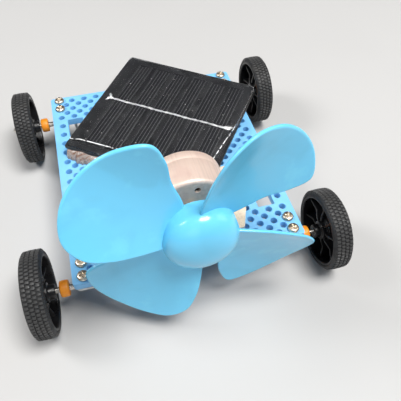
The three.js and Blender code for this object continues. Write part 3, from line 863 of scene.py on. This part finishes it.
def finger_shape():
    """Printed silver lines along one cell, each a little uneven in width."""
    lines = []
    for k in (-2, -1, 0, 1, 2):
        x, steps = k * FINGER_STEP, 60
        half = CELL_LENGTH / 2 - RANDOM.uniform(0.3, 1.1)
        path = [(x + 0.03 * RANDOM.uniform(-1, 1), -half + 2 * half * i / steps) for i in range(steps + 1)]
        width = [0.07 + 0.03 * RANDOM.random() for _ in path]
        left = [(px - w, py) for (px, py), w in zip(path, width)]
        right = [(px + w, py) for (px, py), w in zip(path, width)]
        outline = left + right[::-1]
        low = [(px, py, CELL_TOP - 0.03) for px, py in outline]
        high = [(px, py, CELL_TOP + 0.035) for px, py in outline]
        lines.append(lofted([low, high]))
    return merged(*lines)


def lump(x, y, long, wide, high, swing=0.0):
    """A low mound of solder on the cells."""
    rings = 8
    loops = []
    for i in range(rings + 1):
        share = 1 - i / rings
        z = CELL_TOP - 0.03 + high * (1 - share**2)
        loop = []
        for angle in turns(40):
            edge = share * (1 + 0.1 * math.sin(3 * angle + x) + 0.07 * math.sin(5 * angle + y))
            px, py = swung(long * edge * math.cos(angle), wide * edge * math.sin(angle), swing)
            loop.append((x + px, y + py, z))
        loops.append(loop)
    return lofted(loops)


def ribbon_shape():
    """Tinned strip across the cells: wavy edges, a lumpy top and solder mounds at its ends."""
    steps, across = 150, 6
    length = RIBBON_X[1] - RIBBON_X[0]
    loops = []
    wobble = [RANDOM.uniform(-1, 1) for _ in range(steps + 1)]
    for i in range(steps + 1):
        x = RIBBON_X[0] + length * i / steps
        half = 0.46 + 0.09 * wobble[i] + 0.06 * math.sin(x * 1.7)
        drift = RIBBON_Y + 0.1 * math.sin(x * 0.5) + 0.04 * math.sin(x * 2.3)
        top, bottom = [], []
        for j in range(across + 1):
            v = -1 + 2 * j / across
            rise = 0.2 + 0.05 * math.sin(3 * x + 4 * v) + 0.03 * wobble[(7 * i + j) % steps]
            top.append((x, drift + half * v, CELL_TOP + 0.02 + rise * (1 - v**4)))
            bottom.append((x, drift - half * v, CELL_TOP - 0.02))
        loops.append(top + bottom)
    left, right = RIBBON_X
    mounds = [
        lump(left + 0.6, 2.3, 1.5, 0.55, 0.42, math.radians(118)),
        lump(left + 0.5, 0.3, 1.2, 0.5, 0.42, math.radians(62)),
        lump(left + 1.4, 1.1, 1.1, 0.8, 0.46),
        lump(right - 1.0, 1.3, 1.6, 1.15, 0.5, 0.3),
        lump(right - 2.4, 0.9, 1.0, 0.75, 0.4),
    ]
    return merged(lofted(loops), *mounds)


PLATEAU = [  # the flat top of the resin, from its left rear corner
    (-28.05, 28.05), (27.9, 27.9), (28.0, 3.5), (25.8, -15.5), (25.2, -24.6), (-5.0, -24.25),
    (-24.0, -24.7), (-25.6, -25.4), (-27.6, -25.7),
]
# The resin's side, as the share of the way from its border to the ridge, the height, and the painted
# highlight (milky white resin).
SLOPE = [
    (0, BOARD_THICK + 0.02, 0), (0, 1.9, 0), (0.3, 2.1, 0), (0.6, 2.25, 0), (0.8, 2.38, 0),
    (0.86, 2.52, 0.1), (0.95, 2.84, 0.55), (1, 2.95, 1),
]
LIP = [(0.14, 0, 0.7), (0.3, 0, 0), (3, 0.01, 0)]  # steps in from the ridge, depth and painted highlight (milky white resin)
DISH = 0.05


def ray_to(outline, direction):
    """How far the ray from the middle in a direction goes before it meets an outline."""
    best = 1e9
    for (ax, ay), (bx, by) in zip(outline, [*outline[1:], outline[0]]):
        ex, ey = bx - ax, by - ay
        cross = direction[0] * ey - direction[1] * ex
        if abs(cross) < 1e-9:
            continue
        reach = (ax * ey - ay * ex) / cross
        along = (ax * direction[1] - ay * direction[0]) / cross
        if reach > 0 and -1e-9 <= along <= 1 + 1e-9:
            best = min(best, reach)
    return best


def painted_ridge_highlight(x, y):
    """1 on the stretches of the ridge painted milky white as a highlight, where the lights reflect, 0
    elsewhere.
    """
    front = y < -24 and x < 2
    right = x > 25.3 and -21 < y < 3.6
    return 1.0 if front or right else 0.0


def cover_shape():
    """The resin block: a flat top that breaks over a ridge and slopes down to the board's edge."""
    rim = soften(rectangle(PANEL_WIDTH - 0.6, PANEL_DEPTH - 0.6), 1.6, 6)
    border = []
    for (ax, ay), (bx, by) in zip(rim, [*rim[1:], rim[0]]):
        count = max(1, round(math.hypot(bx - ax, by - ay) / 0.8))
        border += [(ax + (bx - ax) * k / count, ay + (by - ay) * k / count) for k in range(count)]
    top = []
    for x, y in border:
        away = math.hypot(x, y)
        reach = min(ray_to(PLATEAU, (x / away, y / away)), away - 0.12)
        top.append((x / away * reach, y / away * reach))
    # The ridge stretches that get the painted highlight.
    ridge_highlight = np.array([painted_ridge_highlight(x, y) for x, y in top])
    border, top = np.array(border), np.array(top)
    away = np.linalg.norm(top, axis=1)[:, None]
    levels = [(border + (top - border) * share, z, mark) for share, z, mark in SLOPE]
    levels += [(top * (1 - step / away), COVER_TOP - depth, mark) for step, depth, mark in LIP]
    levels += [(top * share, COVER_TOP - DISH * (1 - share), 0) for share in (0.75, 0.5, 0.25, 0.08)]
    loops = [[(x, y, z) for x, y in loop] for loop, z, _ in levels]
    return lofted(loops), np.concatenate([mark * ridge_highlight for _, _, mark in levels])


def board_shape():
    outline = soften(rectangle(PANEL_WIDTH, PANEL_DEPTH), 0.6, 3)
    return sheet(outline, [], 0, BOARD_THICK, 0.18, 2)


def dust_shape():
    """A few specks lying on the resin."""
    specks = []
    for _ in range(46):
        x = RANDOM.uniform(-25, 25)
        y = RANDOM.uniform(-24.5, 24.5)
        size = RANDOM.uniform(0.05, 0.13)
        long = RANDOM.uniform(1, 2.4)
        swing = RANDOM.uniform(0, math.pi)
        loops = []
        for high, width in ((0, 0.7), (0.4, 1), (0.8, 0.5)):
            z = COVER_TOP - 0.03 + high * size
            loop = []
            for angle in turns(7):
                px, py = swung(size * width * long * math.cos(angle), size * width * math.sin(angle), swing)
                loop.append((x + px, y + py, z))
            loops.append(loop)
        specks.append(lofted(loops))
    return merged(*specks)


def make_panel():
    piece("board", board_shape(), "board", CHASSIS, PANEL, ["panel_board"])
    for k in range(CELLS):
        x = CELLS_AT[0] + (k - (CELLS - 1) / 2) * CELL_PITCH
        at = PANEL @ Matrix.Translation((x * MM, CELLS_AT[1] * MM, 0))
        piece(f"cell_{k + 1}", cell_shape(), "silicon", CHASSIS, at, [f"solar_cell_{k + 1}"])
        piece(f"cell_fingers_{k + 1}", finger_shape(), "finger", CHASSIS, at)
    piece("tinned_ribbon", ribbon_shape(), "tinned", CHASSIS, PANEL, ["cell_ribbon"],
          sharp=60)
    cover, marks = cover_shape()
    cover = piece("resin_cover", cover, "resin", CHASSIS, PANEL, ["panel_resin_cover"],
                  sharp=20, values=marks)
    cover.visible_shadow = False
    piece("dust_specks", dust_shape(), "dust", CHASSIS, PANEL)


# ---- what carries the panel -----------------------------------------------------------------


def to_local(place, point):
    """A row frame point, in millimetres, in a local frame."""
    return np.array(place.inverted() @ Vector(np.array(point) * MM)) / MM


def foam_block(x, y, low, high):
    """A soft pad that bulges a little between the faces it is stuck to."""
    loops = []
    for k in range(9):
        share = k / 8
        swell = 0.56 * (math.sin(math.pi * share) - 1)
        outline = rectangle(x[1] - x[0] + swell, y[1] - y[0] + swell, sum(x) / 2, sum(y) / 2)
        z = low + (high - low) * share
        loops.append([(px + 0.05 * math.sin(9 * py), py + 0.05 * math.sin(8 * px), z)
                      for px, py in soften(outline, 0.6, 4)])
    return lofted(loops)


FOAM_FRONT = ((-24, -10), (-24, -14))
FOAM_REAR = ((8, 22), (6, 16))
PANEL_FLOOR = 3.4
SOLDER_AT = {"red": (-9, 14), "black": (-9, -2)}


def solder_shape(x, y):
    profile = [(0, 0), (1.6, 0), (1.5, -0.1), (1.15, -0.3), (0.8, -0.48), (0.3, -0.52), (0, -0.53)]
    vertices, faces = lathe(profile, 40, "z", closed=False)
    return [(x + vx * (1 + 0.05 * math.sin(3 * vy)), y + vy, vz) for vx, vy, vz in vertices], faces


def make_supports():
    for name, (x, y) in {"front": FOAM_FRONT, "rear": FOAM_REAR}.items():
        shape = foam_block(x, y, REST_GAP - PANEL_FLOOR, -0.02)
        pad = piece(f"foam_{name}", shape, "foam", CHASSIS, PANEL, [f"foam_pad_{name}"],
                    sharp=60)
    for colour, (x, y) in SOLDER_AT.items():
        piece(f"solder_{colour}", solder_shape(x, y), "tinned", CHASSIS, PANEL,
              [f"solder_pad_{colour}"])


# ---- motor ----------------------------------------------------------------------------------

MOTOR_RADIUS = 12.2
MOTOR_FRONT = 8.3
MOTOR_BACK = 21.0
MOTOR_WALL = 0.9
SHAFT_RADIUS = 1.0
SHAFT_FRONT = -3.2
SHAFT_BACK = 20.4
SEAM_ANGLE = math.radians(150)
SEAM_HALF = math.radians(0.6)
SEAM_DEPTH = 0.09
BREATHER = {"x": 1.8, "z": 8.4, "radius": 0.9}
TERMINAL_X = 5.5


def can_shape():
    """The motor's drawn steel can, with its rounded front edge, seam and a shallow rolled band."""
    inside, lip, corner = MOTOR_RADIUS - MOTOR_WALL, SHAFT_RADIUS + 2.1, 1.2
    profile = [(lip, MOTOR_FRONT + 0.25), (lip + 0.4, MOTOR_FRONT + 0.05)]
    profile += [(r, MOTOR_FRONT) for r in (5.0, 8.0, MOTOR_RADIUS - 1.35)]
    for k in range(1, 9):
        angle = math.pi / 2 * k / 8
        profile.append((MOTOR_RADIUS - corner + corner * math.sin(angle),
                        MOTOR_FRONT + corner - corner * math.cos(angle)))
    for y, dip in ((2.2, 0), (6, 0), (9.3, 0), (9.45, 0.06), (9.7, 0.06), (9.85, 0)):
        profile.append((MOTOR_RADIUS - dip, MOTOR_FRONT + y))
    profile += [
        (MOTOR_RADIUS, MOTOR_BACK - 0.25), (MOTOR_RADIUS - 0.2, MOTOR_BACK), (inside + 0.1, MOTOR_BACK),
        (inside, MOTOR_BACK - 0.1), (inside, MOTOR_FRONT + 1.6), (inside - 0.7, MOTOR_FRONT + MOTOR_WALL),
        (lip, MOTOR_FRONT + MOTOR_WALL),
    ]
    sides = 360
    vertices = []
    for r, y in profile:
        for angle in turns(sides):
            on_seam = abs(angle - SEAM_ANGLE) < SEAM_HALF and r > MOTOR_RADIUS - 0.4
            reach = r - (SEAM_DEPTH if on_seam else 0)
            vertices.append((reach * math.cos(angle), y, reach * math.sin(angle)))
    return vertices, grid_faces(len(profile), sides, wrap_rows=True, wrap_columns=True)


def end_cap_shape():
    """The plastic cap in the can's back, with a raised boss and a step round it."""
    bore, rim, back = SHAFT_RADIUS + 0.1, MOTOR_RADIUS - MOTOR_WALL - 0.05, MOTOR_BACK
    profile = [
        (bore, back - 0.6), (3.2, back - 0.6), (3.4, back - 0.1), (4.6, back - 0.1), (4.8, back - 0.7),
        (10.6, back - 0.7), (rim, back - 0.3), (rim, back - 1.7), (bore, back - 1.7),
    ]
    return lathe(soften(profile, 0.2, 3), 96, "y")


def terminal_shape(x):
    """A flat brass tab with a hole, pointing back from the cap."""
    root, neck, tip = MOTOR_BACK - 1.0, MOTOR_BACK + 2.3, MOTOR_BACK + 3.1
    outline = [(x - 1, root), (x + 1, root), (x + 1, neck), (x + 0.5, tip), (x - 0.5, tip), (x - 1, neck)]
    return sheet(soften(outline, 0.3, 3), [circle(x, MOTOR_BACK + 1.6, 0.4, 16)], -4.5, -4.0, 0.08, 1)


def make_motor():
    can = piece("can", can_shape(), "can", CHASSIS, DRIVE, ["motor_can"], sharp=40)
    drill_face(can, BREATHER["x"], BREATHER["z"], BREATHER["radius"])
    bush = lathe(ring(SHAFT_RADIUS + 0.05, 3.0, MOTOR_FRONT - 1.9, MOTOR_FRONT + 0.2, 0.3), 64, "y")
    piece("bush", bush, "brass", CHASSIS, DRIVE, ["motor_bush"])
    piece("end_cap", end_cap_shape(), "cream", CHASSIS, DRIVE, ["motor_end_cap"])
    rod = lathe([(0, SHAFT_FRONT), (0.8, SHAFT_FRONT), (1, SHAFT_FRONT + 0.2), (1, SHAFT_BACK - 0.2),
                 (0.8, SHAFT_BACK), (0, SHAFT_BACK)], 32, "y", closed=False)
    piece("shaft", rod, "shaft", "propeller_set", DRIVE, ["motor_shaft"])
    for sx in (-1, 1):
        piece(f"terminal_{side(sx)}", terminal_shape(sx * TERMINAL_X), "brass", CHASSIS, DRIVE,
              [f"motor_terminal_{side(sx)}"])


def drill_face(target, x, z, radius):
    """Cuts a round hole through the can's front face."""
    low, high = MOTOR_FRONT - 3.0, MOTOR_FRONT + 1.5
    vertices, faces = lathe([(0, low), (radius, low), (radius, high), (0, high)], 32, "y", closed=False)
    plug = [(vx + x, vy, vz + z) for vx, vy, vz in vertices], faces
    tool = bpy.data.objects.new("drill", new_mesh("drill", plug, DRIVE))
    bpy.context.scene.collection.objects.link(tool)
    cut = target.modifiers.new("drill", "BOOLEAN")
    cut.operation = "DIFFERENCE"
    cut.solver = "EXACT"
    cut.object = tool
    graph = bpy.context.evaluated_depsgraph_get()
    result = bpy.data.meshes.new_from_object(target.evaluated_get(graph))
    target.modifiers.clear()
    target.data = result
    bpy.data.objects.remove(tool)


# ---- propeller ------------------------------------------------------------------------------

HUB_RADIUS = 11.0
HUB_BACK = 2.7
HUB_WAIST = -2.6
HUB_DOME = 5.3
SKIRT_END = -1.6
BLADE_COUNT = 4
BLADE_TURN = math.radians(45.2)
BLADE_ROOT = 6.0
BLADE_SPAN = 33.7
BLADE_THICK = 1.3
BLADE_CENTRE = 0.24
PITCH_ROOT = 16.5
PITCH_TIP = 9.2
CUP = -2.65
CUP_REFERENCE = 16.0
CONE = 2.1
BLADE_EDGE = [
    (7.7, 6.5), (12.2, 12.7), (16.1, 19.4), (18.3, 26.7), (16.5, 33.9), (10.2, 38.3), (2.7, 39.6),
    (-4.6, 38.7), (-11.2, 35.7), (-16.3, 30.5), (-14.2, 24.0), (-9.7, 18.2), (-6.3, 11.7), (-2.1, 5.8),
]
EDGE_ROUND = 0.62


def spline_at(points, share):
    """A point on the uniform Catmull-Rom curve through the points, its ends repeated."""
    place = min(max(share, 0), 1) * (len(points) - 1)
    k = min(int(place), len(points) - 2)
    t = place - k
    a, b, c, d = (np.array(points[min(max(i, 0), len(points) - 1)], float) for i in range(k - 1, k + 3))
    return catmull(a, b, c, d, t)


def blade_point(off, r, rise):
    """A point of the blade, off to the leading side, r out, and rise millimetres behind its face."""
    u = (r - BLADE_ROOT) / BLADE_SPAN
    pitch = math.radians(PITCH_ROOT + (PITCH_TIP - PITCH_ROOT) * u)
    around = off * math.cos(pitch)
    cup = CUP * (off / CUP_REFERENCE) ** 2
    y = BLADE_CENTRE - off * math.sin(pitch) + CONE * u + cup + rise
    return (r * math.cos(BLADE_TURN) - around * math.sin(BLADE_TURN), y,
            r * math.sin(BLADE_TURN) + around * math.cos(BLADE_TURN))


def blade_shape():
    """One blade as nested loops that shrink from its outline to its middle, with a round edge."""
    count = 220
    edge = np.array([spline_at(BLADE_EDGE, k / count) for k in range(count + 1)])
    root = edge[-1] + (edge[0] - edge[-1]) * np.linspace(0, 1, 14)[1:-1, None]
    loop = np.vstack([edge, root])
    heart = np.array([0.6, 27.0])
    shares = [0, 0.004, 0.012, 0.024, 0.04, 0.065, 0.1, 0.16, 0.25, 0.36, 0.48, 0.6, 0.72, 0.84, 0.95]
    start, chord = loop, np.roll(loop, -1, axis=0) - loop
    lengths = np.maximum((chord**2).sum(1), 1e-12)
    front, back = [], []
    for share in shares:
        for here in loop:
            p = here + (heart - here) * share
            along = np.clip(((p - start) * chord).sum(1) / lengths, 0, 1)
            gap = np.linalg.norm(start + chord * along[:, None] - p, axis=1).min()
            depth = min(gap / EDGE_ROUND, 1)
            thick = BLADE_THICK * math.sqrt(max(0.0, 1 - (1 - depth) ** 2))
            front.append(blade_point(p[0], p[1], (BLADE_THICK - thick) / 2))
            back.append(blade_point(p[0], p[1], (BLADE_THICK + thick) / 2))
    columns = len(loop)
    loops = [back[k * columns:(k + 1) * columns] for k in range(len(shares) - 1, 0, -1)]
    loops += [front[k * columns:(k + 1) * columns] for k in range(len(shares))]
    return lofted(loops)


def hub_shape():
    """The spinner: a short skirt that rolls over into a flattened dome."""
    tip = HUB_WAIST - HUB_DOME
    profile = [
        (SHAFT_RADIUS + 0.1, HUB_BACK - 0.2), (HUB_RADIUS - 0.25, HUB_BACK), (HUB_RADIUS, HUB_BACK - 0.25),
        (HUB_RADIUS, 1.0), (HUB_RADIUS, -0.6), (HUB_RADIUS, SKIRT_END),
    ]
    for k in range(1, 41):
        angle = math.pi / 2 * k / 40
        y = SKIRT_END + (tip - SKIRT_END) * math.sin(angle)
        profile.append((HUB_RADIUS * math.cos(angle) ** 0.86, y))
    profile += [(0, SHAFT_FRONT - 0.2), (SHAFT_RADIUS + 0.1, SHAFT_FRONT - 0.2)]
    return lathe(profile, 144, "y")


def make_propeller():
    blade = blade_shape()
    blades = [moved(blade, Matrix.Rotation(-math.pi / 2 * k, 4, "Y")) for k in range(BLADE_COUNT)]
    piece("four_blade_propeller", merged(hub_shape(), *blades), "blade", "propeller_set",
          DRIVE, ["propeller"], sharp=38)


# ---- motor mount, glue and leads ------------------------------------------------------------

MOTOR_PAD = [(-17, -38.4), (19.2, -38.4), (22.5, -30), (22.5, -10.5), (-17, -10.5)]
PAD_TOP = 1.5
CRADLE_HALF = 13.4
CRADLE_Y = (-40.2, -30.6)
CRADLE_TOP = 14.0
SEAT_RADIUS = 12.5


def cradle_loop(y, seat_centre, inset):
    """The saddle's outline in the plane at y, seen from the front."""
    half, top, low = CRADLE_HALF - inset, CRADLE_TOP - inset, PAD_TOP + inset
    radius = SEAT_RADIUS + inset
    reach = math.asin(min(1, (top - seat_centre) / radius))
    points = [(-half, y, low), (half, y, low), (half, y, top)]
    for k in range(41):
        angle = reach + (-math.pi - 2 * reach) * k / 40
        points.append((radius * math.cos(angle), y, seat_centre + radius * math.sin(angle)))
    return [*points, (-half, y, top)]


def make_cradle():
    hub = to_local(PLATE, DRIVE.translation / MM)
    loops = []
    front, rear = CRADLE_Y
    for y, inset in ((front, 0.25), (front + 0.25, 0), (rear - 0.25, 0), (rear, 0.25)):
        centre = hub[2] - (y - hub[1]) * math.tan(TILT)
        loops.append([(hub[0] + x, py, z) for x, py, z in cradle_loop(y, centre, inset)])
    piece("motor_saddle", lofted(loops), "cream", CHASSIS,
          stands_for=["motor_cradle"], sharp=50)


def make_pad():
    shape = sheet(soften(MOTOR_PAD, 0.7, 4), [], REST_GAP, PAD_TOP, 0.22, 3)
    piece("motor_foam_pad", shape, "foam", CHASSIS, stands_for=["motor_pad"], sharp=60)


GLUE_X = (-27.9, -7.4)


def make_glue():
    """A run of hot glue squeezed out from under the panel's front edge, spread on the plate."""
    floor = REST_GAP - PANEL_FLOOR
    loops = []
    for k in range(61):
        share = k / 60
        x = GLUE_X[0] + (GLUE_X[1] - GLUE_X[0]) * share
        full = math.sqrt(max(0.0, 1 - abs(2 * share - 1) ** 5)) * 0.97 + 0.03
        wave = 0.35 * math.sin(1.1 * x + 0.4) + 0.22 * math.sin(2.7 * x) + 0.1 * math.sin(6.1 * x)
        toe = -28.6 - (2.3 + wave) * full
        crest = -0.7 + (1.1 + 0.3 * math.sin(0.8 * x)) * full
        back = -27.4 + 2.2 * full
        loop = [(x, back, floor), (x, toe, floor)]
        for a in range(1, 13):
            angle = math.pi / 2 * a / 12
            loop.append((x, toe + (-28.2 - toe) * (1 - math.cos(angle)) ** 0.8,
                         floor + (crest - floor) * math.sin(angle)))
        loop += [(x, -27.9, -0.1), (x, back, -0.1)]
        loops.append(loop)
    piece("glue_run", lofted(loops), "glue", CHASSIS, PANEL, ["glue_bead"], sharp=60)


LEAD_RADIUS = 0.55


def lead_path(colour, sx):
    """The lead's route in the plate's frame, from the motor's terminal to the panel's solder pad."""
    to_plate = PLATE.inverted() @ DRIVE
    tab = np.array(to_plate @ (Vector((sx * TERMINAL_X, MOTOR_BACK + 3, -4)) * MM)) / MM
    start = tab + (0, -0.6, LEAD_RADIUS + 0.3)
    x, y = SOLDER_AT[colour]
    pad = np.array(PLATE.inverted() @ PANEL @ (Vector((x, y, -0.65)) * MM)) / MM
    low = LEAD_RADIUS + 0.3
    return [
        start,
        start + (0, 2.2, 0.2),
        (start[0] * 0.9, start[1] + 4.6, start[2] - 3),
        (start[0] * 0.8, start[1] + 5.4, start[2] - 9),
        (start[0] * 0.7, start[1] + 7.2, low + PAD_TOP + 1),
        (start[0] * 0.6 - 2, start[1] + 12, low + PAD_TOP),
        (pad[0] * 0.6 + start[0] * 0.2, pad[1] - 9, low + 1),
        (pad[0], pad[1] - 3, low + 1),
        (pad[0], pad[1], pad[2] - 0.3 - LEAD_RADIUS),
    ]


def make_leads():
    for colour, sx in (("red", 1), ("black", -1)):
        shape = tube(smooth_path(lead_path(colour, sx), 12), LEAD_RADIUS, 18)
        piece(f"wire_{colour}", shape, colour, CHASSIS,
              stands_for=[f"lead_{colour}"])


def finish_hidden_parts():
    """The motor's insides keep their CAD shapes and get real finishes."""
    for part, paint in (("magnet", "ferrite"), ("armature", "copper"), ("commutator", "copper")):
        for slot in frame["nodes"][f"motor_{part}"].material_slots:
            slot.material = PAINTS[paint].material


def make_floor():
    shape = [(-6000, -6000, 0), (6000, -6000, 0), (6000, 6000, 0), (-6000, 6000, 0)]
    mesh = bpy.data.meshes.new("floor")
    mesh.from_pydata([tuple(MM * c for c in v) for v in shape], [], [(0, 1, 2, 3)])
    mesh.materials.append(PAINTS["floor"].material)
    floor = bpy.data.objects.new("floor", mesh)
    bpy.context.scene.collection.objects.link(floor)


make_plate()
make_corners()
make_running_gear()
make_panel()
make_supports()
make_motor()
make_propeller()
make_cradle()
make_pad()
make_glue()
make_leads()
finish_hidden_parts()
make_floor()
